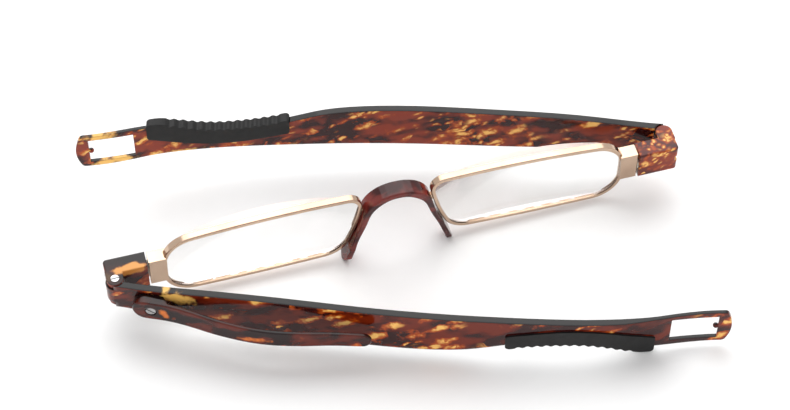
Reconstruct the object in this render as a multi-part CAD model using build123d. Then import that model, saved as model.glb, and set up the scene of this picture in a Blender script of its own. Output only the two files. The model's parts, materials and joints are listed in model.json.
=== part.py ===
from build123d import *
import math
import os

os.makedirs("parts", exist_ok=True)

# ---------------------------------------------------------------- driving dimensions (mm)
REST_TILT = 5.2            # the front leans towards the wearer's side as it rests
PAST = 1.0                 # cutters reach this far past what they cut
TOUCH = 0.01               # closer than this is touching

# rims and lenses
RIM_TALL = 20.55           # between the top and bottom corners
RIM_FRONT = 0.80           # rim front face, +Y
RIM_REAR = -1.07           # rim rear face, -Y
RIM_WIRE = 0.95            # rim wire seen from the front
RIM_ROUND = 0.22
LENS_BITE = 0.38           # depth of the lens edge in the rim groove
LENS_EDGE = 0.27           # lens front surface at its temple-side edge
LENS_FRONT_R = 85.0
LENS_REAR_R = 900.0
LENS_REAR_APEX = -0.40

# end pieces (metal)
END_OUT = 60.50            # outer face of the end piece, from the middle: half the front's width
END_LONG = 3.40            # from the rim to the outer face
END_DEPTH = 3.36           # along Y
END_TALL = 8.32            # along Z
END_EDGE = 0.18
LOCK_IN = 1.60             # lock screw axis inside the outer face
LOCK_DEEP = 3.36
LOCK_HEAD_R = 0.80
LOCK_HEAD_T = 0.50
LOCK_SHANK_R = 0.45
SLOT_WIDE = 0.30           # screwdriver slots
SLOT_DEEP = 0.30
SLOT_LONG = 4.00           # longer than any head is wide

# swivel: pin, bush and block, all on the X axis
RUN_FIT = 0.05             # radial clearance of every running fit
END_PLAY = 0.06            # clearance along the swivel
PIN_R = 0.90
PIN_BITE = 0.80            # pin length inside the end piece
PIN_REACH = 4.80           # pin length outside it
PIN_HEAD_RIM = 0.40
PIN_HEAD_T = 0.50
BUSH_WALL = 0.60
BUSH_FLANGE_RIM = 0.45
BUSH_FLANGE_T = 0.18
BUSH_COLLAR_RIM = 0.25
BUSH_COLLAR_T = 0.60
BLOCK_GAP = 0.36           # between end piece and block
BLOCK_LONG = 10.0          # along X
BLOCK_TALL = 7.80          # along Z
BLOCK_DEPTH = 4.50         # along Y
BLOCK_EDGE = 0.35
BLOCK_CORNER = 0.90
BORE_ROOM = 0.35           # bore past the pin's head

# hinge on the block
HINGE_OFF = 3.70           # hinge axis behind the swivel axis
EAR_R = 2.00
EAR_T = 1.30
EAR_PROUD = 0.09           # ears past the block's end
KNUCKLE_R = 2.35
KNUCKLE_GAP = 0.12
KNUCKLE_ROOM = 0.25
NECK_LONG = 3.00           # neck between the knuckle and the temple's plate
NECK_OUT = 2.30
NECK_IN = 0.90
EAR_ROOM = 0.35
HINGE_SCREW_R = 0.60
HINGE_HEAD_RIM = 0.40
HINGE_HEAD_T = 0.55
HINGE_HEAD_PROUD = 0.12
HINGE_BLIND = 0.45         # ear left whole under the screw

# snap groove and nub
NUB_R = 0.68
NUB_OUT = 0.50             # nub's middle before the tip bar
GROOVE_DEEP = 0.85
GROOVE_TALL = 1.90
GROOVE_FROM = -0.55

# temples, in their own frame: x from the hinge axis along the temple, -y outward
TEMPLE_T = 1.72
TIP_T = 1.00
TIP_BAR = 3.20             # tip beyond the window
TIP_ROUND = 1.10
ROOT_START = -0.4          # plate starts behind the hinge axis, inside the knuckle
ROOT_ROOM = (-4.0, 0.0, -6.0, 2.0)  # cleared above and below the knuckle: along, then across
PANEL_FROM = -14.0         # side outlines are pulled through the whole bow from here
PANEL_DEEP = 26.0
PLATE_HALF = 9.0           # plate before its side outline is cut
PLATE_STEPS = 40
SIDE_BAR = 1.35            # bars above and below the window
REST_LEFT = 20.7           # resting angles from closed
REST_RIGHT = 15.3
WINDOW_BLOCK_FIT = 0.31    # from the window's near end to the opposite block
WINDOW_NUB_FIT = 0.59      # from the opposite block to the window's far end
WINDOW_SIDE_FIT = 0.20

# worked out from the above
BLOCK_IN = END_OUT + BLOCK_GAP
BLOCK_OUT = BLOCK_IN + BLOCK_LONG
HINGE_X = BLOCK_OUT + EAR_PROUD - EAR_R
LOCK_X = END_OUT - LOCK_IN
PIN_INNER_X = END_OUT - PIN_BITE
PIN_OUTER_X = END_OUT + PIN_REACH
PIN_HEAD_R = PIN_R + PIN_HEAD_RIM
BUSH_OUT_R = PIN_R + RUN_FIT + BUSH_WALL
BUSH_FLANGE_R = BUSH_OUT_R + BUSH_FLANGE_RIM
BUSH_COLLAR_R = BUSH_OUT_R + BUSH_COLLAR_RIM
HINGE_HEAD_R = HINGE_SCREW_R + HINGE_HEAD_RIM
WINDOW_FROM = HINGE_X + BLOCK_IN - WINDOW_BLOCK_FIT
WINDOW_TO = HINGE_X + BLOCK_OUT + WINDOW_NUB_FIT
WINDOW_TALL = BLOCK_TALL + 2 * WINDOW_SIDE_FIT
TEMPLE_LONG = WINDOW_TO + TIP_BAR
TIP_HALF = WINDOW_TALL / 2 + SIDE_BAR
ROOT_HALF = BLOCK_TALL / 2 + 0.1

# ear grips
GRIP_WRAP = 0.45
GRIP_RIBS = 13
GRIP_ROUND = 1.0
GRIP_HALF = 12.0           # band before its side outline is cut
GRIP_PAST = 2.0
GRIP_STEPS = 26
RIB_START = 2.0            # plain length before the first rib
RIB_PLAIN = 6.5            # plain length at both ends together
RIB_HALF = 0.24            # half the height of a rib
RIB_STEPS = 96

# pocket clip
CLIP_FROM = 4.6
CLIP_TO = 60.9
CLIP_T = 1.00
CLIP_ROOT_W = 6.2
CLIP_TIP_W = 4.3
CLIP_PAD_END = 13.0
CLIP_SCREW_X = 9.0
CLIP_SCREW_R = 0.60
CLIP_HOLE_R = 0.78         # wide enough for the clip to rock on its screw
CLIP_HEAD_R = 1.18
CLIP_HEAD_T = 0.63
CLIP_HEAD_SUNK = 0.12      # head below the clip's outer face
CLIP_SEAT_R = 1.42
CLIP_SEAT_DEEP = 0.85
CLIP_SCREW_BLIND = 0.20    # wall left on the temple's inner face
CLIP_SLOT_TURN = 35
CLIP_PAD_GAP = 0.06
CLIP_TAIL_GAP = 0.34
CLIP_PAD_SLOPE = 1.2
CLIP_EDGE = 0.18
CLIP_STEPS = 15
CLIP_NEXT = 1.0            # first back point beyond the pad
CLIP_RAIL_SHARE = 0.7      # only edges longer than this share of the clip are chamfered
CLIP_BLANK_AT = -20.0      # plan outline is pulled from here
CLIP_CUT = 14.0            # cutters reach this far from the hinge axis
CLIP_SHANK_IN = 0.1        # shank's end inside the head

# bridge
BRIDGE_ROUND = 0.30
BRIDGE_REAR = -2.80
BRIDGE_FRONT = 1.50
BRIDGE_LOW = -12.10
PAD_START = -2.0           # the nose pads widen below this height
PAD_WIDEST = -9.6
PAD_REAR = -3.50
PAD_FRONT = 1.90
BRIDGE_PAST = 14.0         # the flank's outline starts above the arch
BRIDGE_HALF = 20.0         # and is pulled this far to either side
BRIDGE_OUTER = [(14.05, -12.6), (13.05, -9.0), (11.95, -5.9), (10.5, -2.2), (9.3, 1.4), (8.72, 3.8),
                (8.05, 6.1), (6.9, 7.95), (5.0, 9.6), (2.6, 10.6), (0.0, 10.9)]
BRIDGE_INNER = [(12.5, -12.6), (11.5, -8.6), (10.4, -5.3), (9.0, -1.7), (7.8, 1.6), (7.2, 3.6),
                (6.5, 5.3), (5.5, 6.7), (4.0, 8.0), (2.1, 9.0), (0.0, 9.3)]
TAB_IN = 7.2
TAB_LOW = 3.4
TAB_HIGH = 5.0
TAB_REAR = -0.60
TAB_FRONT = 0.50

# outer outline of one rim, X from the middle and Z: corners, the bulge of each side, corner rounds
RIM_OUT = END_OUT - END_LONG
RIM_TOP = RIM_TALL / 2 - 0.025
RIM_LOW = -RIM_TALL / 2 - 0.025
RIM_TOP_NASAL = (8.05, RIM_TOP)
RIM_TOP_TEMPLE = (RIM_OUT - 0.05, RIM_TOP - 1.80)
RIM_LOW_TEMPLE = (RIM_OUT, RIM_LOW)
RIM_LOW_NASAL = (14.00, RIM_LOW + 0.60)
RIM_TOP_MIDDLE = ((8.05 + RIM_OUT) / 2, RIM_TOP + 0.20)
RIM_LOW_MIDDLE = ((14.0 + RIM_OUT) / 2, RIM_LOW - 0.12)
RIM_NASAL_MIDDLE = (9.85, 0.40)
RIM_TEMPLE_MIDDLE = (RIM_OUT + 0.08, -1.0)
RIM_CORNERS = (3.6, 8.0, 7.5, 7.0)
LENS_MID_X = (8.5 + RIM_OUT) / 2
LENS_MID_Z = 0.2

# temple shape: distance along, then the outer face's offset from the hinge axis, or an edge's height
BOW = [(-0.6, 2.35), (3, 2.62), (8, 3.12), (20, 4.05), (40, 5.15), (60, 6.20), (78, 6.38), (95, 5.70),
       (108, 4.55), (118, 3.00), (125, 1.25), (131, -0.25), (137, -1.40), (144.5, -2.45)]
TOP_EDGE = [(-3, ROOT_HALF), (2, ROOT_HALF), (8, 4.25), (20, 5.25), (35, 5.95), (55, 6.28), (78, 6.34),
            (95, 6.08), (108, 5.50), (118, 5.02), (126, 5.08), (133, TIP_HALF), (142.2, TIP_HALF)]
LOW_EDGE = [(-3, -ROOT_HALF), (2, -ROOT_HALF), (8, -4.25), (20, -5.25), (35, -6.0), (55, -6.35), (68, -6.30),
            (76, -5.90), (84, -4.75), (91, -2.75), (97, -1.45), (105, -0.95), (112, -1.35),
            (118, -3.10), (122, -4.70), (126, -5.45), (133, -TIP_HALF - 0.15), (142.2, -TIP_HALF)]
THICKNESS = [(-5, TEMPLE_T), (112, TEMPLE_T), (118, TEMPLE_T - 0.1), (127, TIP_T), (150, TIP_T)]
GRIP_TOP = [(91.6, 1.2), (97, 2.3), (103, 3.2), (109, 3.2), (115, 2.2), (121, 0.3), (126.2, -1.6)]
GRIP_LOW = [(91.6, -3.9), (97, -2.75), (103, -2.15), (109, -2.25), (114, -3.3), (119, -5.2),
            (123, -6.75), (126.2, -7.2)]
DRAWN_LONG = 143.6         # temple length that the tables above are drawn for
CLIP_OFF = [(4.6, 1.70), (13, 1.75), (18, 2.45), (24, 3.75), (31, 4.80), (37, 5.05), (44, 4.45),
            (52, 3.20), (60.9, 2.35)]


# ---------------------------------------------------------------- small helpers
def lerp(table, x):
    """Value of a table of (x, y) pairs at x, joined smoothly."""
    if x <= table[0][0]:
        return table[0][1]
    for i in range(len(table) - 1):
        (x0, y0), (x1, y1) = table[i], table[i + 1]
        if x <= x1:
            before = table[max(i - 1, 0)]
            after = table[min(i + 2, len(table) - 1)]
            m0 = (y1 - before[1]) / (x1 - before[0])
            m1 = (after[1] - y0) / (after[0] - x0)
            h = x1 - x0
            t = (x - x0) / h
            return (y0 * (2 * t**3 - 3 * t**2 + 1) + m0 * h * (t**3 - 2 * t**2 + t)
                    + y1 * (-2 * t**3 + 3 * t**2) + m1 * h * (t**3 - t**2))
    return table[-1][1]


def spread(table):
    """A table drawn for DRAWN_LONG, stretched to the temple's length."""
    return [(x * TEMPLE_LONG / DRAWN_LONG, y) for x, y in table]


def prism_y(face, y0, y1):
    """Solid from a face drawn with X across and Z up, pulled from y0 to y1."""
    return Pos(0, y1, 0) * Rot(90, 0, 0) * extrude(face, amount=y1 - y0, dir=(0, 0, 1))


def block_box(x0, x1, y0, y1, z0, z1):
    """Box between pairs of limits."""
    return Pos((x0 + x1) / 2, (y0 + y1) / 2, (z0 + z1) / 2) * Box(x1 - x0, y1 - y0, z1 - z0)


def rod_x(radius, x0, x1):
    """Round rod on the X axis."""
    return Pos((x0 + x1) / 2, 0, 0) * Rot(0, 90, 0) * Cylinder(radius, x1 - x0)


def rod_z(radius, z0, z1, x=0.0, y=0.0):
    """Round rod along Z through x, y."""
    return Pos(x, y, (z0 + z1) / 2) * Cylinder(radius, z1 - z0)


def one(shape):
    """The single solid of a shape; the largest when slivers came off it."""
    return max(shape.solids(), key=lambda s: s.volume)


def mirrored(shape):
    """The same piece on the other side of the middle."""
    return mirror(shape, about=Plane.YZ)


def flipped(shape):
    """Half a turn about the swivel axis."""
    return Rot(180, 0, 0) * shape


# ---------------------------------------------------------------- rims and lenses
def side_disc(start, middle, end, inset):
    """Disc whose edge is one side of the rim's outline, moved inward by inset."""
    arc = ThreePointArc(start, middle, end)
    return Pos(arc.arc_center) * Circle(arc.radius - inset)


def outline(side, inset=0.0):
    """Face of one rim's outline, moved inward by inset; side is 1 on the wearer's right, -1 on the left."""
    names = (RIM_TOP_NASAL, RIM_TOP_TEMPLE, RIM_LOW_TEMPLE, RIM_LOW_NASAL)
    middles = (RIM_TOP_MIDDLE, RIM_TEMPLE_MIDDLE, RIM_LOW_MIDDLE, RIM_NASAL_MIDDLE)
    corners = [Vector(side * x, z) for x, z in names]
    bulges = [Vector(side * x, z) for x, z in middles]
    discs = [side_disc(corners[i], bulges[i], corners[(i + 1) % 4], inset) for i in range(4)]
    face = discs[0] & discs[1] & discs[2] & discs[3]
    for corner, radius in zip(corners, RIM_CORNERS):
        nearest = min(face.vertices(), key=lambda v: (v.center() - corner).length)
        face = fillet(nearest, radius - inset)
    return face


def half_chord(radius, off):
    """Half the chord of a circle at that distance from its middle."""
    return math.sqrt(radius**2 - off**2)


def sag(radius, half_width):
    """Depth of a sphere's cap of that half width."""
    return radius - half_chord(radius, half_width)


def make_lens(side):
    """Meniscus lens whose edge sits in the rim's groove."""
    rim_depth = RIM_FRONT - RIM_REAR
    apex = LENS_EDGE + sag(LENS_FRONT_R, RIM_OUT - RIM_WIRE + LENS_BITE - LENS_MID_X)
    blank = prism_y(outline(side, RIM_WIRE - LENS_BITE), RIM_REAR - rim_depth, apex + rim_depth)
    middle_x = side * LENS_MID_X
    front = Pos(middle_x, apex - LENS_FRONT_R, LENS_MID_Z) * Sphere(LENS_FRONT_R)
    rear = Pos(middle_x, LENS_REAR_APEX - LENS_REAR_R, LENS_MID_Z) * Sphere(LENS_REAR_R)
    return one((blank & front) - rear)


def is_inner(edge, hole):
    """Does the edge bound the rim's hole?"""
    return hole.distance_to(edge) < TOUCH


def make_rim(lens, side):
    """Rim wire with the groove that the lens cuts in it."""
    body = prism_y(outline(side), RIM_REAR, RIM_FRONT)
    hole = prism_y(outline(side, RIM_WIRE), RIM_REAR - PAST, RIM_FRONT + PAST)
    ring = body - hole
    outer_edges = [e for e in ring.edges().filter_by(GeomType.LINE, reverse=True)
                   if abs(e.center().Y) > RIM_FRONT / 2 and not is_inner(e, hole)]
    return one(fillet(outer_edges, RIM_ROUND) - lens)


def make_endpiece(rim):
    """Metal end piece; it wraps the rim wire front and rear."""
    inner = RIM_OUT - RIM_WIRE
    body = block_box(inner, END_OUT, -END_DEPTH / 2, END_DEPTH / 2, -END_TALL / 2, END_TALL / 2)
    body = fillet(body.edges().filter_by(Axis.Z).group_by(Axis.X)[-1], END_EDGE)
    body -= prism_y(outline(1, RIM_WIRE), -END_DEPTH, END_DEPTH)
    body -= prism_y(outline(1, RIM_ROUND), RIM_REAR, RIM_FRONT)
    body -= rim
    body -= rod_x(PIN_R, PIN_INNER_X, END_OUT + PAST)
    low = -END_TALL / 2
    body -= rod_z(LOCK_SHANK_R, low - PAST, low + LOCK_DEEP, LOCK_X, 0)
    return one(body)


def slot(x, y, z, turn=0):
    """Cutter for a screwdriver slot in a face that looks along Z."""
    return Pos(x, y, z) * Rot(0, 0, turn) * Box(SLOT_LONG, SLOT_WIDE, 2 * SLOT_DEEP)


def make_lock_screw():
    """Screw from below that closes the rim."""
    low = -END_TALL / 2
    screw = rod_z(LOCK_SHANK_R, low, low + LOCK_DEEP, LOCK_X, 0)
    screw += rod_z(LOCK_HEAD_R, low - LOCK_HEAD_T, low, LOCK_X, 0)
    return one(screw - slot(LOCK_X, 0, low - LOCK_HEAD_T))


# ---------------------------------------------------------------- bridge
def make_bridge():
    """Saddle bridge with its two nose pads: an arch, cut to the flank's outline."""
    right_out = [Vector(x, PAD_REAR, z) for x, z in BRIDGE_OUTER]
    left_out = [Vector(-x, PAD_REAR, z) for x, z in reversed(BRIDGE_OUTER[:-1])]
    left_in = [Vector(-x, PAD_REAR, z) for x, z in BRIDGE_INNER]
    right_in = [Vector(x, PAD_REAR, z) for x, z in reversed(BRIDGE_INNER[:-1])]
    top = Spline(*(right_out + left_out))
    under = Spline(*(left_in + right_in))
    wire = Wire([top, Line(left_out[-1], left_in[0]), under, Line(right_in[-1], right_out[0])])
    strap = extrude(Face(wire), amount=PAD_FRONT - PAD_REAR, dir=(0, 1, 0))
    mid = (PAD_FRONT + PAD_REAR) / 2
    shape = [Vector(0, BRIDGE_REAR, BRIDGE_PAST), Vector(0, BRIDGE_REAR, PAD_START),
             Vector(0, PAD_REAR, PAD_WIDEST), Vector(0, mid, BRIDGE_LOW), Vector(0, PAD_FRONT, PAD_WIDEST),
             Vector(0, BRIDGE_FRONT, PAD_START), Vector(0, BRIDGE_FRONT, BRIDGE_PAST)]
    flank = Spline(*shape[1:6], tangents=(Vector(0, 0, -1), Vector(0, 0, 1)))
    wire = Wire([Line(shape[0], shape[1]), flank, Line(shape[5], shape[6]), Line(shape[6], shape[0])])
    side = Pos(-BRIDGE_HALF, 0, 0) * extrude(Face(wire), amount=2 * BRIDGE_HALF, dir=(1, 0, 0))
    strap = strap & side
    return one(fillet(strap.edges(), BRIDGE_ROUND))


def rim_nasal(z):
    """X of the rim's outer edge on the nose side at height z."""
    low, middle, top = (Vector(x, height) for x, height in (RIM_LOW_NASAL, RIM_NASAL_MIDDLE, RIM_TOP_NASAL))
    arc = ThreePointArc(low, middle, top)
    return arc.arc_center.X - half_chord(arc.radius, z - arc.arc_center.Y)


def make_tab(rim, bridge):
    """Metal tab between the rim and the bridge, its outer end inside the rim's wire."""
    outer = rim_nasal((TAB_LOW + TAB_HIGH) / 2) + RIM_WIRE / 2
    return one(block_box(TAB_IN, outer, TAB_REAR, TAB_FRONT, TAB_LOW, TAB_HIGH) - rim - bridge)


# ---------------------------------------------------------------- swivel, right-hand side, X from the middle
def make_pin():
    """Swivel pin with its head inside the block."""
    pin = rod_x(PIN_R, PIN_INNER_X, PIN_OUTER_X)
    return one(pin + rod_x(PIN_HEAD_R, PIN_OUTER_X - PIN_HEAD_T, PIN_OUTER_X))


def bush_span():
    """X of the bush's flange, of the flange's outer face and of the bush's end."""
    start = END_OUT + END_PLAY
    return start, start + BUSH_FLANGE_T, PIN_OUTER_X - PIN_HEAD_T - END_PLAY


def make_bush():
    """Bush between pin and block, with a flange and a locking collar."""
    flange_in, flange_out, end = bush_span()
    bush = rod_x(BUSH_OUT_R, flange_in, end) + rod_x(BUSH_FLANGE_R, flange_in, flange_out)
    bush += rod_x(BUSH_COLLAR_R, end - BUSH_COLLAR_T, end)
    return one(bush - rod_x(PIN_R + RUN_FIT, flange_in - PAST, end + PAST))


def make_block():
    """End block in the worn attitude, hinge ears towards -Y."""
    half = BLOCK_TALL / 2
    body = block_box(BLOCK_IN, BLOCK_OUT, -BLOCK_DEPTH / 2, BLOCK_DEPTH / 2, -half, half)
    upright = body.edges().filter_by(Axis.Z).group_by(Axis.X)[-1]
    body = fillet([e for e in upright if e.center().Y > 0], BLOCK_CORNER)
    lengthwise = [e for e in body.edges().filter_by(Axis.X) if e.center().Y > 0]
    body = fillet(lengthwise, BLOCK_EDGE)
    ears = rod_z(EAR_R, -half, half, HINGE_X, -HINGE_OFF)
    ears += block_box(HINGE_X - EAR_R, HINGE_X + EAR_R, -HINGE_OFF, -BLOCK_DEPTH / 4, -half, half)
    body += ears
    inside = half - EAR_T
    body -= rod_z(KNUCKLE_R + KNUCKLE_ROOM, -inside, inside, HINGE_X, -HINGE_OFF)
    room = KNUCKLE_R + KNUCKLE_ROOM + PAST
    body -= block_box(HINGE_X - room, HINGE_X + room, -HINGE_OFF - room, -HINGE_OFF, -inside, inside)
    body -= rod_z(HINGE_SCREW_R, HINGE_BLIND - half, half + PAST, HINGE_X, -HINGE_OFF)
    body -= rod_z(HINGE_HEAD_R, half - HINGE_HEAD_T, half + PAST, HINGE_X, -HINGE_OFF)
    collar_end = bush_span()[2]
    body -= rod_x(BUSH_OUT_R + RUN_FIT, BLOCK_IN - PAST, PIN_OUTER_X + BORE_ROOM)
    body -= rod_x(BUSH_COLLAR_R + RUN_FIT, collar_end - BUSH_COLLAR_T - END_PLAY, collar_end + END_PLAY)
    body -= block_box(BLOCK_OUT - GROOVE_DEEP, BLOCK_OUT + PAST, GROOVE_FROM, BLOCK_DEPTH,
                      -GROOVE_TALL / 2, GROOVE_TALL / 2)
    return one(body)


def make_hinge_screw():
    """Upright screw through both ears of a block."""
    half = BLOCK_TALL / 2
    screw = rod_z(HINGE_SCREW_R, HINGE_BLIND - half, half, HINGE_X, -HINGE_OFF)
    screw += rod_z(HINGE_HEAD_R, half - HINGE_HEAD_T, half + HINGE_HEAD_PROUD, HINGE_X, -HINGE_OFF)
    return one(screw - slot(HINGE_X, -HINGE_OFF, half + HINGE_HEAD_PROUD))


# ---------------------------------------------------------------- temples, own frame
def thickness(x):
    """Plate thickness at x."""
    return lerp(spread(THICKNESS), x)


def bow(x):
    """Offset of the outer face from the hinge axis at x."""
    return lerp(spread(BOW), x)


def plan_band(x0, x1, outward, inward, half, steps):
    """Plate that follows the bow: from `outward` outside the outer face to `inward` past the inner."""
    xs = [x0 + (x1 - x0) * i / (steps - 1) for i in range(steps)]
    outer = [Vector(x, -(bow(x) + outward), -half) for x in xs]
    inner = [Vector(x, -(bow(x) - thickness(x) - inward), -half) for x in xs]
    wire = Wire([Spline(*outer), Line(outer[-1], inner[-1]), Spline(*reversed(inner)),
                 Line(inner[0], outer[0])])
    return extrude(Face(wire), amount=2 * half, dir=(0, 0, 1))


def side_panel(top, low, tip=False):
    """Side outline from two edge tables, pulled through the whole width."""
    up = [Vector(x, PANEL_FROM, z) for x, z in top]
    down = [Vector(x, PANEL_FROM, z) for x, z in reversed(low)]
    if tip:
        end = ThreePointArc(up[-1], Vector(TEMPLE_LONG, PANEL_FROM, 0), down[0])
    else:
        end = Line(up[-1], down[0])
    wire = Wire([Spline(*up), end, Spline(*down), Line(down[-1], up[0])])
    return extrude(Face(wire), amount=PANEL_DEEP, dir=(0, 1, 0))


def make_temple(with_clip_hole):
    """Bowed plate with knuckle, tip window and nub; the clip screw's hole is on one temple only."""
    half = BLOCK_TALL / 2
    inside = half - EAR_T - KNUCKLE_GAP
    panel = side_panel(spread(TOP_EDGE), spread(LOW_EDGE), tip=True)
    corners = [e for e in panel.edges().filter_by(Axis.Y) if e.center().X > WINDOW_TO]
    panel = fillet(corners, TIP_ROUND)
    plate = plan_band(ROOT_START, TEMPLE_LONG + PAST, 0, 0, PLATE_HALF, PLATE_STEPS) & panel
    for z0, z1 in ((inside, PLATE_HALF + PAST), (-PLATE_HALF - PAST, -inside)):
        plate -= rod_z(EAR_R + EAR_ROOM, z0, z1) + block_box(*ROOT_ROOM, z0, z1)
    knuckle = rod_z(KNUCKLE_R, -inside, inside)
    neck = block_box(0, NECK_LONG, -NECK_OUT, -NECK_IN, -inside, inside)
    temple = plate + knuckle + neck
    temple -= block_box(WINDOW_FROM, WINDOW_TO, PANEL_FROM, -PANEL_FROM, -WINDOW_TALL / 2, WINDOW_TALL / 2)
    nub_y = -(bow(WINDOW_TO) - TIP_T / 2)
    temple += Pos(WINDOW_TO - NUB_OUT, nub_y, 0) * Rot(0, 90, 0) * Sphere(NUB_R)
    temple -= rod_z(HINGE_SCREW_R + RUN_FIT, -PLATE_HALF, PLATE_HALF)
    if with_clip_hole:
        temple -= clip_rod(CLIP_SCREW_R, bow(CLIP_SCREW_X) - TEMPLE_T + CLIP_SCREW_BLIND, PLATE_HALF)
    return one(temple)


def make_grip(temple):
    """Rubber grip round one edge of the temple, ribbed along that edge."""
    top, under = spread(GRIP_TOP), spread(GRIP_LOW)
    start, end = top[0][0], top[-1][0]
    low = []
    for i in range(RIB_STEPS + 1):
        x = start + (end - start) * i / RIB_STEPS
        t = (x - start - RIB_START) / (end - start - RIB_PLAIN)
        wave = 0.0
        if 0 < t < 1:
            wave = RIB_HALF * (1 - math.cos(2 * math.pi * t * GRIP_RIBS))
        low.append((x, lerp(under, x) + wave))
    panel = side_panel(top, low)
    panel = fillet(panel.edges().filter_by(Axis.Y), GRIP_ROUND)
    grip = plan_band(start - GRIP_PAST, end + GRIP_PAST, GRIP_WRAP, GRIP_WRAP, GRIP_HALF, GRIP_STEPS) & panel
    return one(grip - temple)


# ---------------------------------------------------------------- pocket clip, in the temple's frame
def clip_rod(radius, y_from, y_to):
    """Rod square to the outer face at the clip screw, between two distances from the hinge axis."""
    return Pos(CLIP_SCREW_X, -(y_from + y_to) / 2, 0) * Rot(90, 0, 0) * Cylinder(radius, y_to - y_from)


def clip_back(x, lift):
    """Point of the clip's lengthwise profile, lift off the temple's outer face."""
    return Vector(x, -(bow(x) + lift), -CLIP_ROOT_W)


def make_clip():
    """Pocket clip: a bent strip with a countersunk seat at its screw."""
    xs = [CLIP_FROM + (CLIP_TO - CLIP_FROM) * i / CLIP_STEPS for i in range(CLIP_STEPS + 1)]
    face = [clip_back(x, lerp(CLIP_OFF, x) + CLIP_T) for x in xs]
    free = [CLIP_PAD_END] + [x for x in xs if x > CLIP_PAD_END + CLIP_NEXT]
    back = [clip_back(x, lerp(CLIP_OFF, x)) for x in reversed(free)]
    pad_foot = CLIP_PAD_END - CLIP_PAD_SLOPE
    pad = [back[-1], clip_back(pad_foot, CLIP_PAD_GAP), clip_back(CLIP_SCREW_X, CLIP_PAD_GAP),
           clip_back(CLIP_FROM, CLIP_TAIL_GAP), face[0]]
    wire = Wire([Spline(*face), Line(face[-1], back[0]), Spline(*back)] + list(Polyline(*pad).edges()))
    strip = extrude(Face(wire), amount=2 * CLIP_ROOT_W, dir=(0, 0, 1))
    a, b = CLIP_ROOT_W / 2, CLIP_TIP_W / 2
    y0 = CLIP_BLANK_AT
    shape = [Vector(CLIP_FROM + a, y0, a), Vector(CLIP_TO - b, y0, b)]
    low = [Vector(v.X, y0, -v.Z) for v in reversed(shape)]
    wire = Wire([Line(*shape), ThreePointArc(shape[1], Vector(CLIP_TO, y0, 0), low[0]), Line(*low),
                 ThreePointArc(low[1], Vector(CLIP_FROM, y0, 0), shape[0])])
    clip = strip & extrude(Face(wire), amount=PANEL_DEEP, dir=(0, 1, 0))
    rails = [e for e in clip.edges() if e.length > CLIP_RAIL_SHARE * (CLIP_TO - CLIP_FROM)]
    clip = chamfer(rails, CLIP_EDGE)
    clip -= clip_rod(CLIP_HOLE_R, 0, CLIP_CUT)
    clip -= clip_rod(CLIP_SEAT_R, clip_seat() - CLIP_SEAT_DEEP, CLIP_CUT)
    return one(clip)


def clip_seat():
    """Distance of the clip's outer face from the hinge axis at its screw."""
    return bow(CLIP_SCREW_X) + lerp(CLIP_OFF, CLIP_SCREW_X) + CLIP_T


def make_clip_screw():
    """Countersunk screw of the pocket clip."""
    top = clip_seat() - CLIP_HEAD_SUNK
    screw = clip_rod(CLIP_SCREW_R, bow(CLIP_SCREW_X) - TEMPLE_T + CLIP_SCREW_BLIND, top - CLIP_SHANK_IN)
    screw += clip_rod(CLIP_HEAD_R, top - CLIP_HEAD_T, top)
    cutter = Pos(CLIP_SCREW_X, -top, 0) * Rot(0, CLIP_SLOT_TURN, 0) * Box(SLOT_LONG, 2 * SLOT_DEEP, SLOT_WIDE)
    return one(screw - cutter)


# ---------------------------------------------------------------- placing
def hung(shape, rest_angle):
    """From the temple's frame to the wearer's-left hinge, folded to the resting angle."""
    return Pos(-HINGE_X, -HINGE_OFF, 0) * Rot(0, 0, -rest_angle) * shape


right_lens = make_lens(1)
left_lens = make_lens(-1)
right_rim = make_rim(right_lens, 1)
left_rim = make_rim(left_lens, -1)
bridge = make_bridge()
tab = make_tab(right_rim, bridge)
endpiece = make_endpiece(right_rim)
lock_screw = make_lock_screw()
pin = make_pin()
bush = make_bush()
block = make_block()
hinge_screw = make_hinge_screw()
temple_left = make_temple(True)
temple_right = make_temple(False)
grip = make_grip(temple_right)
clip = make_clip()
clip_screw = make_clip_screw()


def opposite(shape, rest_angle):
    """The other temple: mirrored across the middle and turned half round its swivel."""
    return flipped(mirrored(hung(shape, rest_angle)))


nodes = {
    "right_rim": right_rim,
    "left_rim": left_rim,
    "right_lens": right_lens,
    "left_lens": left_lens,
    "bridge": bridge,
    "right_bridge_tab": tab,
    "left_bridge_tab": mirrored(tab),
    "right_endpiece": endpiece,
    "left_endpiece": mirrored(endpiece),
    "right_rim_lock_screw": lock_screw,
    "left_rim_lock_screw": mirrored(lock_screw),
    "right_swivel_pin": pin,
    "left_swivel_pin": mirrored(pin),
    "right_swivel_bush": bush,
    "left_swivel_bush": mirrored(bush),
    "right_end_block": flipped(block),
    "left_end_block": mirrored(block),
    "right_hinge_screw": flipped(hinge_screw),
    "left_hinge_screw": mirrored(hinge_screw),
    "left_temple": hung(temple_left, REST_LEFT),
    "right_temple": opposite(temple_right, REST_RIGHT),
    "left_ear_grip": hung(grip, REST_LEFT),
    "right_ear_grip": opposite(grip, REST_RIGHT),
    "pocket_clip": hung(clip, REST_LEFT),
    "clip_screw": hung(clip_screw, REST_LEFT),
}

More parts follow.
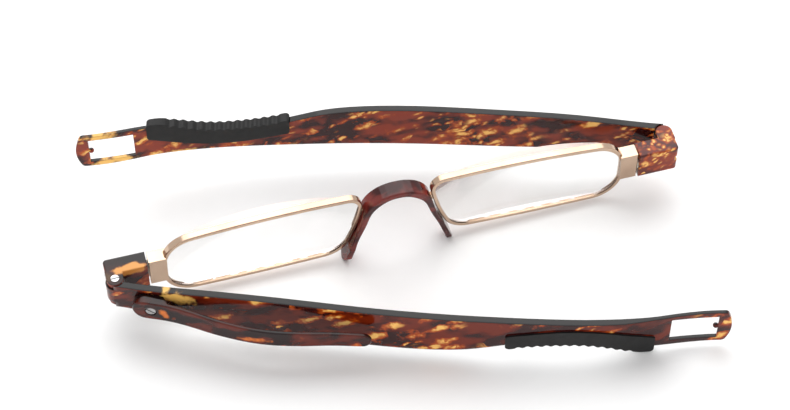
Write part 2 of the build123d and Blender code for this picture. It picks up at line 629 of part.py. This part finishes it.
tilted = {name: Rot(REST_TILT, 0, 0) * shape for name, shape in nodes.items()}
whole = Compound(children=[one(shape) for shape in tilted.values()]).bounding_box()
shift = Pos(-(whole.min.X + whole.max.X) / 2, -(whole.min.Y + whole.max.Y) / 2, -whole.min.Z)
print("shift", shift.position, "size", whole.size)
for name, shape in tilted.items():
    solid = one(shift * shape)
    export_step(solid, f"parts/{name}.step")
    box = solid.bounding_box()
    print(f"{name:24s} volume {solid.volume:9.3f} x {box.min.X:7.2f} {box.max.X:7.2f}"
          f" y {box.min.Y:7.2f} {box.max.Y:7.2f} z {box.min.Z:6.2f} {box.max.Z:6.2f}")
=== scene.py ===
"""Folding reading glasses: finishes, table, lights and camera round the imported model."""
from __future__ import annotations

import json
import logging
import math
from dataclasses import dataclass
from enum import Enum

import bpy
from mathutils import Matrix, Vector

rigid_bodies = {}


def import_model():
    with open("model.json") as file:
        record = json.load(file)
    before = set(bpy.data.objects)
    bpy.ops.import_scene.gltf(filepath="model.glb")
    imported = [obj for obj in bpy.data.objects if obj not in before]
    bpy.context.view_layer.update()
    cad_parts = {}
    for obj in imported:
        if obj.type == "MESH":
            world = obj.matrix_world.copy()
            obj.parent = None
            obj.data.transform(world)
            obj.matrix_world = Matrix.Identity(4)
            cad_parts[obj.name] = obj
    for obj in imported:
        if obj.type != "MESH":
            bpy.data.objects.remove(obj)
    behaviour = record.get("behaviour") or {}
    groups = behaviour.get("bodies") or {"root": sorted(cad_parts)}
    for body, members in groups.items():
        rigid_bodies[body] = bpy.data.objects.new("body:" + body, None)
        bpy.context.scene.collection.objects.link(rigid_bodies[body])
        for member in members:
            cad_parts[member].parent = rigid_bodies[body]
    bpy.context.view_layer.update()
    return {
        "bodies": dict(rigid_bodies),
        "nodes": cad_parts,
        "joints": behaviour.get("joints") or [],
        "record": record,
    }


LOG = logging.getLogger("reading_glasses")
MM = 0.001

# how the nodes are laid out in the editor
NODES_ACROSS = 9
NODE_STEP = (220, 260)

# where the temples' patterns start and how far they are turned, so that they lie along the temples
LEFT_HINGE = (65.45, 0.0, -12.13)
LEFT_TURN = 20.7
RIGHT_HINGE = (-63.85, 0.0, -12.13)
RIGHT_TURN = 15.3
# reach that takes a patch right through a temple
THROUGH = 40.0

# amber flakes: scales are per millimetre, ranges are from where a mask is 0 to where it is 1
FLAKE_SLANT = -25.0
FLAKE_STRETCH = (2.5, 1.4, 0.9)
FLAKE_RAGGED_SCALE = 0.7
FLAKE_RAGGED = 0.9
CLUSTER_SCALE = 0.06
CLUSTER_PULL = 2.0
FLAKE_CHANCE = (0.90, 1.06)
FLAKE_EDGE = (0.66, 0.36)
FLAKE_HEART = (0.42, 0.12)

# tortoise acetate: the sheet's clouds, the finer layer of flakes, the patches and the painted shade on faces
# that point up or down
WARP_SCALE = 0.22
WARP_REACH = 2.4
CLOUD_SLANT = -12.0
CLOUD_STRETCH = (2.4, 1.0, 1.0)
CLOUD_SCALE = 0.26
CLOUD_SOFT = (0.40, 0.62)
FINE_SHIFT = (31.0, 17.0, 5.0)
FINE_SCALE = 2.1
FINE_FEWER = 0.38
TOP_FACING = (0.60, 0.95)
PATCH_KEEPS = 0.85
PATCH_RAGGED_SCALE = 0.45
PATCH_RAGGED = 1.3
PATCH_EDGE = (1.15, 0.70)

# handling marks: how much smears and finer grain count, and how deep the relief is
SMEAR_SCALE = 0.35
SMEAR_SHARE = 0.7
LINE_SHARE = 0.3
RELIEF_DEEP = 0.02 * MM
EDGE_SAMPLES = 4

# noise runs from 0 to 1 round its middle; a finish drifts between its two tones over a part of that
NOISE_MIDDLE = 0.5
TWO_TONE = (0.30, 0.70)

Color = tuple[float, float, float, float]
Vec3 = tuple[float, float, float]
Range = tuple[float, float]
Socket = bpy.types.NodeSocket


class Side(Enum):
    """Wearer's side of the glasses."""

    LEFT = "left"
    RIGHT = "right"


def srgb(red: float, green: float, blue: float) -> Color:
    """Turns a colour picked on a 0 to 255 chart into linear light.

    Args:
        red, green, blue: the chart values.
    Returns:
        The linear colour with full alpha.
    """
    def linear(value: float) -> float:
        """One channel in linear light."""
        v = value / 255
        return v / 12.92 if v <= 0.04045 else ((v + 0.055) / 1.055) ** 2.4

    return (linear(red), linear(green), linear(blue), 1.0)


# painted shade: the near black that the acetate's faces pointing up or down are darkened towards
TOP_FACE_SHADE = srgb(14, 10, 10)


# ------------------------------------------------------------------ node tools
class Tree:
    """Short hand for wiring one node tree."""

    def __init__(self, tree: bpy.types.NodeTree) -> None:
        """Keeps the tree that the calls work on."""
        self.tree = tree
        self.count = 0

    def node(self, kind: str, links: dict | None = None, **values: object) -> bpy.types.Node:
        """Adds a node.

        Args:
            kind: node type without the ShaderNode prefix.
            links: input name or index to a value or an output socket.
            values: attributes set on the node itself.
        Returns:
            The new node.
        """
        made = self.tree.nodes.new("ShaderNode" + kind)
        self.count += 1
        row, column = divmod(self.count, NODES_ACROSS)
        made.location = (NODE_STEP[0] * column, -NODE_STEP[1] * row)
        for name, value in values.items():
            setattr(made, name, value)
        self.feed(made, links or {})
        return made

    def feed(self, node: bpy.types.Node, links: dict) -> None:
        """Links or sets a node's inputs.

        Args:
            node: the node.
            links: input name or index to a value or an output socket.
        """
        for name, value in links.items():
            if isinstance(value, bpy.types.NodeSocket):
                self.tree.links.new(value, node.inputs[name])
            else:
                node.inputs[name].default_value = value

    def group(self, name: str, links: dict) -> bpy.types.Node:
        """Places a shader node group.

        Args:
            name: the group's name.
            links: input name to a value or an output socket.
        Returns:
            The group's node.
        """
        made = self.node("Group", node_tree=bpy.data.node_groups[name])
        self.feed(made, links)
        return made

    def math(self, operation: str, first: object, second: object = 0.0, clamp: bool = False) -> Socket:
        """Adds a Math node and returns its output."""
        return self.node("Math", {0: first, 1: second}, operation=operation, use_clamp=clamp).outputs[0]

    def vector(self, operation: str, links: dict) -> bpy.types.Node:
        """Adds a Vector Math node and returns it."""
        return self.node("VectorMath", links, operation=operation)

    def noise(self, place: Socket, scale: object, detail: float, rough: float = 0.5) -> bpy.types.Node:
        """Adds a Noise Texture node and returns it."""
        links = {"Vector": place, "Scale": scale, "Detail": detail, "Roughness": rough}
        return self.node("TexNoise", links)

    def stray(self, place: Socket, scale: float, detail: float, reach: float) -> Socket:
        """Noise round zero.

        Args:
            place: the pattern's place.
            scale: features per millimetre.
            detail: octaves.
            reach: what the noise is multiplied by.
        Returns:
            The output socket.
        """
        fac = self.noise(place, scale, detail).outputs["Fac"]
        return self.math("MULTIPLY", self.math("SUBTRACT", fac, NOISE_MIDDLE), reach)

    def step(self, value: Socket, ends: Range) -> Socket:
        """Smooth mask, 0 at the first end of the range and 1 at the second."""
        links = {"Value": value, "From Min": ends[0], "From Max": ends[1]}
        return self.node("MapRange", links, interpolation_type="SMOOTHSTEP").outputs["Result"]

    def mix(self, factor: object, first: object, second: object) -> Socket:
        """Mixes two colours and returns the result."""
        return self.node("Mix", {0: factor, 6: first, 7: second}, data_type="RGBA").outputs[2]


def new_group(name: str, inputs: list[tuple[str, str, object]], outputs: list[tuple[str, str]]) -> tuple:
    """Starts a shader node group.

    Args:
        name: the group's name.
        inputs: name, socket type and default of each input.
        outputs: name and socket type of each output.
    Returns:
        The group, its Tree, its input node and its output node.
    """
    group = bpy.data.node_groups.new(name, "ShaderNodeTree")
    for label, kind, value in inputs:
        socket = group.interface.new_socket(label, in_out="INPUT", socket_type="NodeSocket" + kind)
        if value is not None:
            socket.default_value = value
    for label, kind in outputs:
        group.interface.new_socket(label, in_out="OUTPUT", socket_type="NodeSocket" + kind)
    start = group.nodes.new("NodeGroupInput")
    end = group.nodes.new("NodeGroupOutput")
    return group, Tree(group), start, end


def flake_group() -> bpy.types.NodeTree:
    """One layer of amber flakes: soft slanting blobs, shown by chance and in clusters.

    Returns:
        The node group.
    """
    inputs = [("Vector", "Vector", None), ("Scale", "Float", 0.4), ("Amount", "Float", 0.3)]
    group, t, start, end = new_group("amber_flakes", inputs, [("Edge", "Float"), ("Heart", "Float")])
    place = start.outputs["Vector"]
    slant = t.node("Mapping", {"Vector": place, "Rotation": (0.0, math.radians(FLAKE_SLANT), 0.0),
                               "Scale": FLAKE_STRETCH}, vector_type="TEXTURE").outputs[0]
    cell = t.node("TexVoronoi", {"Vector": slant, "Scale": start.outputs["Scale"]})
    ragged = t.stray(place, FLAKE_RAGGED_SCALE, detail=2.5, reach=FLAKE_RAGGED)
    far = t.math("ADD", cell.outputs["Distance"], ragged)
    chance = t.node("SeparateColor", {0: cell.outputs["Color"]}).outputs[0]
    lift = t.stray(place, CLUSTER_SCALE, detail=1.0, reach=CLUSTER_PULL)
    level = t.math("ADD", t.math("ADD", chance, lift), start.outputs["Amount"])
    shown = t.step(level, FLAKE_CHANCE)
    t.tree.links.new(t.math("MULTIPLY", shown, t.step(far, FLAKE_EDGE)), end.inputs["Edge"])
    t.tree.links.new(t.math("MULTIPLY", shown, t.step(far, FLAKE_HEART)), end.inputs["Heart"])
    return group


def acetate_group() -> bpy.types.NodeTree:
    """Tortoise acetate: soft clouds, two layers of flakes, large patches (amber of the sheet, and painted
    light on some pieces) and painted shade on the faces that point up or down.

    Returns:
        The node group.
    """
    inputs = [("Vector", "Vector", None), ("Cloud Dark", "Color", None), ("Cloud Red", "Color", None),
              ("Flake Edge", "Color", None), ("Flake Heart", "Color", None), ("Flake Amount", "Float", 0.3),
              ("Flake Scale", "Float", 0.4), ("Patch", "Float", 0.0), ("Painted Top Shade", "Float", 1.0)]
    group, t, start, end = new_group("tortoise_acetate", inputs, [("Color", "Color")])
    given = start.outputs
    warp = t.noise(given["Vector"], WARP_SCALE, detail=2.0)
    off = t.vector("SUBTRACT", {0: warp.outputs["Color"], 1: (NOISE_MIDDLE,) * 3}).outputs[0]
    off = t.vector("SCALE", {0: off, "Scale": WARP_REACH}).outputs[0]
    bent = t.vector("ADD", {0: given["Vector"], 1: off}).outputs[0]
    # soft clouds, drawn out along the sheet
    drawn = t.node("Mapping", {"Vector": bent, "Rotation": (0.0, math.radians(CLOUD_SLANT), 0.0),
                               "Scale": CLOUD_STRETCH}, vector_type="TEXTURE").outputs[0]
    cloud = t.noise(drawn, CLOUD_SCALE, detail=2.0, rough=0.45)
    color = t.mix(t.step(cloud.outputs["Fac"], CLOUD_SOFT), given["Cloud Dark"], given["Cloud Red"])
    # a coarse and a fine layer of flakes
    fine = t.vector("ADD", {0: bent, 1: FINE_SHIFT}).outputs[0]
    fine_scale = t.math("MULTIPLY", given["Flake Scale"], FINE_SCALE)
    fine_amount = t.math("SUBTRACT", given["Flake Amount"], FINE_FEWER)
    for spot, scale, amount in ((bent, given["Flake Scale"], given["Flake Amount"]),
                                (fine, fine_scale, fine_amount)):
        layer = t.group("amber_flakes", {"Vector": spot, "Scale": scale, "Amount": amount})
        color = t.mix(layer.outputs["Edge"], color, given["Flake Edge"])
        color = t.mix(layer.outputs["Heart"], color, given["Flake Heart"])
    # the patches: amber patches of the sheet, and on the left block's top and the clip's bend painted light
    color = t.mix(given["Patch"], color, given["Flake Heart"])
    # painted shade: faces that point up or down are darkened towards a near black, standing in for the dark
    # reflection on the acetate's top faces; the patches mostly keep their colour
    split = t.node("SeparateXYZ", {0: t.node("TexCoord").outputs["Normal"]})
    top_facing = t.step(t.math("ABSOLUTE", split.outputs["Z"]), TOP_FACING)
    keep = t.math("SUBTRACT", 1.0, t.math("MULTIPLY", given["Patch"], PATCH_KEEPS))
    shade = t.math("MULTIPLY", t.math("MULTIPLY", top_facing, keep), given["Painted Top Shade"])
    color = t.mix(shade, color, TOP_FACE_SHADE)
    t.tree.links.new(color, end.inputs["Color"])
    return group


def marks_group() -> bpy.types.NodeTree:
    """Handling marks: smears and finer grain, which stir the roughness and give the relief.

    Returns:
        The node group.
    """
    inputs = [("Vector", "Vector", None), ("Roughness", "Float", 0.15), ("Spread", "Float", 0.08),
              ("Grain", "Float", 6.0)]
    group, t, start, end = new_group("handling_marks", inputs, [("Roughness", "Float"), ("Height", "Float")])
    smear = t.noise(start.outputs["Vector"], SMEAR_SCALE, detail=5.0)
    lines = t.noise(start.outputs["Vector"], start.outputs["Grain"], detail=3.0)
    both = t.math("ADD", t.math("MULTIPLY", smear.outputs["Fac"], SMEAR_SHARE),
                  t.math("MULTIPLY", lines.outputs["Fac"], LINE_SHARE))
    part = t.math("MULTIPLY", t.math("SUBTRACT", both, NOISE_MIDDLE), start.outputs["Spread"])
    rough = t.math("ADD", t.math("MULTIPLY", part, 2.0), start.outputs["Roughness"], clamp=True)
    t.tree.links.new(rough, end.inputs["Roughness"])
    t.tree.links.new(lines.outputs["Fac"], end.inputs["Height"])
    return group


# ------------------------------------------------------------------ finishes
@dataclass(frozen=True)
class Wear:
    """Handling marks of one finish.

    Args:
        rough: middle roughness.
        spread: how far the roughness strays.
        grain: grain per millimetre.
        bump: strength of the grain's relief.
        edge: radius of the polished edges in millimetres, 0 for none.
    """

    rough: float = 0.15
    spread: float = 0.08
    grain: float = 6.0
    bump: float = 0.1
    edge: float = 0.0


@dataclass(frozen=True)
class Patch:
    """One large patch in the flakes' heart colour, in the millimetres of the piece's pattern; most are amber
    patches of the sheet, those on the left block's top and on the clip's bend are painted light.
    """

    middle: Vec3
    reach: Vec3


@dataclass(frozen=True)
class Finish:
    """What every finish shares: a name, the turn and shift of its pattern, and its marks."""

    name: str
    turn: float = 0.0
    shift: Vec3 = (0.0, 0.0, 0.0)
    wear: Wear = Wear()

    def material(self) -> bpy.types.Material:
        """Makes the material.

        Returns:
            The finished material.
        """
        material = bpy.data.materials.new(self.name)
        material.use_nodes = True
        material.node_tree.nodes.clear()
        t = Tree(material.node_tree)
        shader = t.node("BsdfPrincipled")
        out = t.node("OutputMaterial")
        place = t.node("Mapping", {"Vector": t.node("TexCoord").outputs["Object"],
                                   "Rotation": (0.0, 0.0, math.radians(self.turn)),
                                   "Location": self.shift, "Scale": (1 / MM, 1 / MM, 1 / MM)})
        self.paint(t, shader, place.outputs[0])
        self.mark(t, shader, place.outputs[0])
        t.tree.links.new(self.close(t, shader), out.inputs["Surface"])
        return material

    def paint(self, t: Tree, shader: bpy.types.Node, place: Socket) -> None:
        """Gives the shader its colour and gloss.

        Args:
            t: the material's tree.
            shader: the Principled node.
            place: the pattern's place.
        """
        raise NotImplementedError

    def mark(self, t: Tree, shader: bpy.types.Node, place: Socket) -> None:
        """Adds the handling marks.

        Args:
            t: the material's tree.
            shader: the Principled node.
            place: the pattern's place.
        """
        wear = self.wear
        marks = t.group("handling_marks", {"Vector": place, "Roughness": wear.rough, "Spread": wear.spread,
                                           "Grain": wear.grain})
        relief = t.node("Bump", {"Height": marks.outputs["Height"], "Strength": wear.bump,
                                 "Distance": RELIEF_DEEP})
        if wear.edge > 0.0:
            soft = t.node("Bevel", {"Radius": wear.edge * MM}, samples=EDGE_SAMPLES)
            t.tree.links.new(soft.outputs[0], relief.inputs["Normal"])
        t.feed(shader, {"Roughness": marks.outputs["Roughness"], "Normal": relief.outputs[0]})

    def close(self, t: Tree, shader: bpy.types.Node) -> Socket:
        """The shader that goes to the surface."""
        return shader.outputs[0]

    def two_tone(self, t: Tree, place: Socket, tones: tuple[Color, Color], scale: float,
                 detail: float) -> Socket:
        """A quiet drift from one tone to another.

        Args:
            t: the material's tree.
            place: the pattern's place.
            tones: the two tones.
            scale: features of the drift per millimetre.
            detail: octaves of the drift.
        Returns:
            The colour socket.
        """
        drift = t.step(t.noise(place, scale, detail).outputs["Fac"], TWO_TONE)
        return t.mix(drift, *tones)


@dataclass(frozen=True)
class TortoiseAcetate(Finish):
    """Polished cellulose acetate in tortoise, with its own share of flakes and patches, and its own strength
    of painted shade on the faces that point up or down.
    """

    wear: Wear = Wear(rough=0.07, spread=0.03, grain=2.0, bump=0.02, edge=0.50)
    flakes: float = 0.3
    patches: tuple[Patch, ...] = ()
    # painted shade: how strongly the faces that point up or down are darkened
    painted_top_shade: float = 1.0
    scale: float = 0.36
    dark: Color = srgb(46, 8, 8)
    red: Color = srgb(132, 42, 16)
    edge: Color = srgb(178, 72, 16)
    heart: Color = srgb(255, 200, 106)
    ior: float = 1.48
    gloss: float = 0.34

    def patch_mask(self, t: Tree, place: Socket) -> Socket | None:
        """Where the large patches lie: amber patches of the sheet, and patches of painted light.

        Args:
            t: the material's tree.
            place: the pattern's place.
        Returns:
            A mask, or None without patches.
        """
        if not self.patches:
            return None
        total = None
        ragged = t.stray(place, PATCH_RAGGED_SCALE, detail=3.0, reach=PATCH_RAGGED)
        for patch in self.patches:
            away = t.vector("SUBTRACT", {0: place, 1: patch.middle}).outputs[0]
            away = t.vector("DIVIDE", {0: away, 1: patch.reach}).outputs[0]
            far = t.vector("LENGTH", {0: away}).outputs["Value"]
            mask = t.step(t.math("ADD", far, ragged), PATCH_EDGE)
            total = mask if total is None else t.math("MAXIMUM", total, mask)
        return total

    def paint(self, t: Tree, shader: bpy.types.Node, place: Socket) -> None:
        """Gives the shader the tortoise colours and the acetate's gloss.

        Args:
            t: the material's tree.
            shader: the Principled node.
            place: the pattern's place.
        """
        links = {"Vector": place, "Cloud Dark": self.dark, "Cloud Red": self.red, "Flake Edge": self.edge,
                 "Flake Heart": self.heart, "Flake Amount": self.flakes, "Flake Scale": self.scale,
                 "Painted Top Shade": self.painted_top_shade}
        mask = self.patch_mask(t, place)
        if mask is not None:
            links["Patch"] = mask
        color = t.group("tortoise_acetate", links).outputs["Color"]
        t.feed(shader, {"Base Color": color, "IOR": self.ior, "Specular IOR Level": self.gloss})


@dataclass(frozen=True)
class ChampagneGold(Finish):
    """Pale gold plate over wire, finely polished."""

    wear: Wear = Wear(rough=0.17, spread=0.03, grain=5.0, bump=0.01, edge=0.12)
    tones: tuple[Color, Color] = (srgb(190, 162, 140), srgb(204, 177, 154))

    def paint(self, t: Tree, shader: bpy.types.Node, place: Socket) -> None:
        """Gives the shader the gold's tones and makes it metal."""
        color = self.two_tone(t, place, self.tones, scale=0.12, detail=2.0)
        t.feed(shader, {"Base Color": color, "Metallic": 1.0})


@dataclass(frozen=True)
class BlackRubber(Finish):
    """Matte moulded rubber with a fine pebbled skin."""

    wear: Wear = Wear(rough=0.58, spread=0.10, grain=7.0, bump=0.35)
    tones: tuple[Color, Color] = (srgb(10, 10, 10), srgb(21, 20, 20))
    gloss: float = 0.35

    def paint(self, t: Tree, shader: bpy.types.Node, place: Socket) -> None:
        """Gives the shader the rubber's blacks and its low gloss."""
        color = self.two_tone(t, place, self.tones, scale=0.6, detail=4.0)
        t.feed(shader, {"Base Color": color, "Specular IOR Level": self.gloss})


@dataclass(frozen=True)
class BrightSteel(Finish):
    """Bright steel of screws and pins, with a faint grain."""

    wear: Wear = Wear(rough=0.20, spread=0.10, grain=12.0, bump=0.08)
    tones: tuple[Color, Color] = (srgb(168, 166, 166), srgb(196, 195, 195))

    def paint(self, t: Tree, shader: bpy.types.Node, place: Socket) -> None:
        """Gives the shader the steel's tones and makes it metal."""
        color = self.two_tone(t, place, self.tones, scale=1.2, detail=4.0)
        t.feed(shader, {"Base Color": color, "Metallic": 1.0})


@dataclass(frozen=True)
class NaturalNylon(Finish):
    """Off-white bush nylon."""

    wear: Wear = Wear(rough=0.42, spread=0.10, grain=5.0, bump=0.10)
    tones: tuple[Color, Color] = (srgb(214, 208, 194), srgb(228, 223, 212))

    def paint(self, t: Tree, shader: bpy.types.Node, place: Socket) -> None:
        """Gives the shader the nylon's tones."""
        color = self.two_tone(t, place, self.tones, scale=0.9, detail=3.0)
        t.feed(shader, {"Base Color": color})


@dataclass(frozen=True)
class ClearLens(Finish):
    """Coated lens: clear, with the faintest smears and a ground edge that glows with painted light; it lets
    lamp light through.
    """

    tones: tuple[Color, Color] = (srgb(250, 251, 250), srgb(255, 255, 255))
    no_glow: Color = (0.0, 0.0, 0.0, 1.0)
    # painted light: colour and strength of the emission that makes the ground edge glow
    painted_edge_glow: Color = srgb(222, 196, 190)
    painted_glow_strength: float = 0.45
    edge_rough: float = 0.6
    edge_from: Range = (0.5, 0.3)
    ior: float = 1.5
    shadow: Color = (0.97, 0.97, 0.96, 1.0)

    def paint(self, t: Tree, shader: bpy.types.Node, place: Socket) -> None:
        """Makes the shader clear glass."""
        color = self.two_tone(t, place, self.tones, scale=0.12, detail=5.0)
        t.feed(shader, {"Base Color": color, "Transmission Weight": 1.0, "IOR": self.ior})

    def mark(self, t: Tree, shader: bpy.types.Node, place: Socket) -> None:
        """Grinds the lens's edge: rough, with a faint painted glow, an emission that stands in for the light
        caught in the ground glass.

        Args:
            t: the material's tree.
            shader: the Principled node.
            place: the pattern's place, which the ground edge makes no use of.
        """
        split = t.node("SeparateXYZ", {0: t.node("TexCoord").outputs["Normal"]})
        side = t.step(t.math("ABSOLUTE", split.outputs["Y"]), self.edge_from)
        t.feed(shader, {"Roughness": t.math("MULTIPLY", side, self.edge_rough),
                        "Emission Color": t.mix(side, self.no_glow, self.painted_edge_glow),
                        "Emission Strength": self.painted_glow_strength})

    def close(self, t: Tree, shader: bpy.types.Node) -> Socket:
        """Lets lamp light through, so that the lens throws hardly any shadow.

        Args:
            t: the material's tree.
            shader: the Principled node.
        Returns:
            The shader that goes to the surface.
        """
        clear = t.node("BsdfTransparent", {"Color": self.shadow})
        path = t.node("LightPath")
        blend = t.node("MixShader", {0: path.outputs["Is Shadow Ray"], 1: shader.outputs[0],
                                     2: clear.outputs[0]})
        return blend.outputs[0]


def dress(frame: dict, nodes: list[str], material: bpy.types.Material) -> None:
    """Gives CAD nodes a finish.

    Args:
        nodes: node names.
        material: the finish.
    """
    for name in nodes:
        piece = frame["nodes"][name]
        for slot in piece.material_slots:
            slot.material = material
        LOG.info("%s dressed in %s", name, material.name)


# ------------------------------------------------------------------ sub-assemblies
@dataclass
class Front:
    """Rims, lenses, bridge and end pieces."""

    frame: dict
    gold: Finish = ChampagneGold("champagne_gold")
    clear: Finish = ClearLens("coated_lens")
    steel: Finish = BrightSteel("front_screw_steel")
    saddle: Finish = TortoiseAcetate("bridge_acetate", flakes=-2.0, painted_top_shade=0.25,
                                     dark=srgb(62, 20, 20), red=srgb(122, 48, 42))

    def pairs(self, *parts: str) -> list[str]:
        """Node names of parts that come in a left and a right."""
        return [f"{side.value}_{part}" for part in parts for side in Side]

    def build(self) -> None:
        """Dresses every piece of the front."""
        dress(self.frame, self.pairs("rim", "endpiece", "bridge_tab"), self.gold.material())
        dress(self.frame, self.pairs("lens"), self.clear.material())
        dress(self.frame, self.pairs("rim_lock_screw", "swivel_pin"), self.steel.material())
        dress(self.frame, ["bridge"], self.saddle.material())


@dataclass
class EndBlock:
    """One end block with its bush and hinge screw."""

    frame: dict
    side: Side
    acetate: Finish
    steel: Finish = BrightSteel("hinge_screw_steel")
    nylon: Finish = NaturalNylon("bush_nylon")

    def build(self) -> None:
        """Dresses the block and what is in it."""
        side = self.side.value
        dress(self.frame, [f"{side}_end_block"], self.acetate.material())
        dress(self.frame, [f"{side}_hinge_screw"], self.steel.material())
        dress(self.frame, [f"{side}_swivel_bush"], self.nylon.material())


@dataclass
class Temple:
    """One temple with its ear grip."""

    frame: dict
    side: Side
    acetate: Finish
    rubber: Finish = BlackRubber("grip_rubber")

    def build(self) -> None:
        """Dresses the temple and its grip."""
        side = self.side.value
        dress(self.frame, [f"{side}_temple"], self.acetate.material())
        dress(self.frame, [f"{side}_ear_grip"], self.rubber.material())


@dataclass
class PocketClip:
    """The clip and its countersunk screw."""

    frame: dict
    acetate: Finish
    steel: Finish = BrightSteel("clip_screw_steel")

    def build(self) -> None:
        """Dresses the clip and its screw."""
        dress(self.frame, ["pocket_clip"], self.acetate.material())
        dress(self.frame, ["clip_screw"], self.steel.material())


LEFT_BLOCK = TortoiseAcetate(
    "left_block_acetate", flakes=0.1, painted_top_shade=0.9, heart=srgb(238, 164, 84),
    # painted light: this patch paints the near half of the block's top amber and mostly spares it the painted
    # top shade, standing in for a slope of the top that shows no dark reflection
    patches=(Patch((-65.0, 4.4, 16.0), (4.6, 1.5, 2.0)),))

RIGHT_BLOCK = TortoiseAcetate(
    "right_block_acetate", turn=30.0, flakes=0.55, scale=0.5, painted_top_shade=0.1, dark=srgb(74, 30, 28))

LEFT_TEMPLE = TortoiseAcetate(
    "left_temple_acetate", turn=LEFT_TURN, shift=LEFT_HINGE, flakes=0.22, red=srgb(112, 34, 12),
    patches=(Patch((15.5, 0.0, 1.6), (5.6, THROUGH, 2.1)),
             Patch((12.5, 0.0, 3.8), (1.4, THROUGH, 0.9))))

RIGHT_TEMPLE = TortoiseAcetate(
    "right_temple_acetate", turn=RIGHT_TURN, shift=RIGHT_HINGE, flakes=0.40, scale=0.40,
    red=srgb(140, 50, 26),
    patches=(Patch((-137.0, 0.0, 8.4), (4.4, THROUGH, 1.7)),
             Patch((-134.0, 0.0, -1.2), (7.0, THROUGH, 1.5)),
             Patch((-118.0, 0.0, -2.2), (7.0, THROUGH, 1.6))))

CLIP = TortoiseAcetate(
    "clip_acetate", turn=LEFT_TURN, shift=LEFT_HINGE, flakes=0.05, painted_top_shade=0.6,
    dark=srgb(30, 8, 8), red=srgb(98, 30, 14), heart=srgb(222, 116, 40),
    patches=(Patch((12.0, 0.0, -1.2), (1.5, THROUGH, 2.2)),
             # painted highlight: the second patch paints the bright orange highlight on the clip's bend
             Patch((33.0, 0.0, -3.4), (7.0, THROUGH, 1.3))))


# ------------------------------------------------------------------ studio
@dataclass(frozen=True)
class Lamp:
    """One square soft lamp, aimed at the glasses.

    Args:
        name: its name.
        place: where it hangs.
        size: its side.
        power: watts.
    """

    name: str
    place: Vec3
    size: float
    power: float

    def build(self) -> None:
        """Hangs the lamp."""
        light = bpy.data.lights.new(self.name, "AREA")
        light.shape = "SQUARE"
        light.size = self.size
        light.energy = self.power
        lamp = bpy.data.objects.new(self.name, light)
        lamp.location = self.place
        lamp.rotation_euler = (-Vector(self.place)).to_track_quat("-Z", "Y").to_euler()
        bpy.context.scene.collection.objects.link(lamp)
        LOG.info("%s hung", self.name)


@dataclass
class Studio:
    """White table, soft lamps and a pale surround."""

    reach: float = 6.0
    whites: tuple[Color, Color] = ((0.93, 0.93, 0.93, 1.0), (0.95, 0.95, 0.95, 1.0))
    grain: float = 300.0
    matte: float = 0.9
    gloss: float = 0.1
    lamps: tuple[Lamp, ...] = (Lamp("back_softbox", (0.15, 0.85, 0.92), 1.7, 15.0),
                               Lamp("soft_heart", (0.12, 0.68, 0.74), 0.7, 1.2))
    surround_light: float = 0.84

    def table(self) -> None:
        """Lays the table."""
        bpy.ops.object.select_all(action="DESELECT")
        bpy.ops.mesh.primitive_plane_add(size=self.reach, location=(0.0, 0.0, 0.0))
        floor = bpy.context.active_object
        floor.name = "table"
        material = bpy.data.materials.new("white_table")
        material.use_nodes = True
        t = Tree(material.node_tree)
        shader = material.node_tree.nodes["Principled BSDF"]
        grain = t.noise(t.node("TexCoord").outputs["Object"], self.grain, detail=3.0)
        t.feed(shader, {"Base Color": t.mix(grain.outputs["Fac"], *self.whites), "Roughness": self.matte,
                        "Specular IOR Level": self.gloss})
        floor.data.materials.append(material)
        LOG.info("table laid")

    def surround(self) -> None:
        """Sets the pale surround."""
        world = bpy.data.worlds.new("pale_surround")
        world.use_nodes = True
        back = world.node_tree.nodes["Background"]
        back.inputs["Color"].default_value = (1.0, 1.0, 1.0, 1.0)
        back.inputs["Strength"].default_value = self.surround_light
        bpy.context.scene.world = world

    def build(self) -> None:
        """Lays the table, hangs the lamps and sets the surround."""
        self.table()
        for lamp in self.lamps:
            lamp.build()
        self.surround()
        bpy.context.scene.view_settings.view_transform = "Standard"


@dataclass
class ViewPoint:
    """Camera above the table, looking down at the front; angles in degrees, lengths in metres.

    The focal length and the sensor's width are in millimetres.
    """

    aim: Vec3 = (0.00046, 0.00879, 0.01234)
    distance: float = 0.57222
    heading: float = 14.045
    dip: float = 48.059
    roll: float = -1.914
    focal: float = 108.46
    sensor: float = 36.0
    nearest: float = 0.01

    def build(self) -> None:
        """Places the camera and makes it the scene's."""
        heading, dip, roll = math.radians(self.heading), math.radians(self.dip), math.radians(self.roll)
        ahead = Vector((math.sin(heading) * math.cos(dip), math.cos(heading) * math.cos(dip), -math.sin(dip)))
        level = Vector((math.cos(heading), -math.sin(heading), 0.0))
        right = level * math.cos(roll) + level.cross(ahead) * math.sin(roll)
        up = right.cross(ahead)
        data = bpy.data.cameras.new("view_point")
        data.lens = self.focal
        data.sensor_width = self.sensor
        data.clip_start = self.nearest
        camera = bpy.data.objects.new("view_point", data)
        turn = Matrix((right, up, -ahead)).transposed().to_4x4()
        camera.matrix_world = Matrix.Translation(Vector(self.aim) - ahead * self.distance) @ turn
        bpy.context.scene.collection.objects.link(camera)
        bpy.context.scene.camera = camera


def main() -> None:
    """Builds the sub-assemblies in order."""
    logging.basicConfig(level=logging.INFO, format="%(message)s")
    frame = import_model()
    flake_group()
    acetate_group()
    marks_group()
    ViewPoint().build()
    Front(frame).build()
    EndBlock(frame, Side.LEFT, LEFT_BLOCK).build()
    EndBlock(frame, Side.RIGHT, RIGHT_BLOCK).build()
    Temple(frame, Side.LEFT, LEFT_TEMPLE).build()
    Temple(frame, Side.RIGHT, RIGHT_TEMPLE).build()
    PocketClip(frame, CLIP).build()
    Studio().build()


if __name__ == "__main__":
    main()
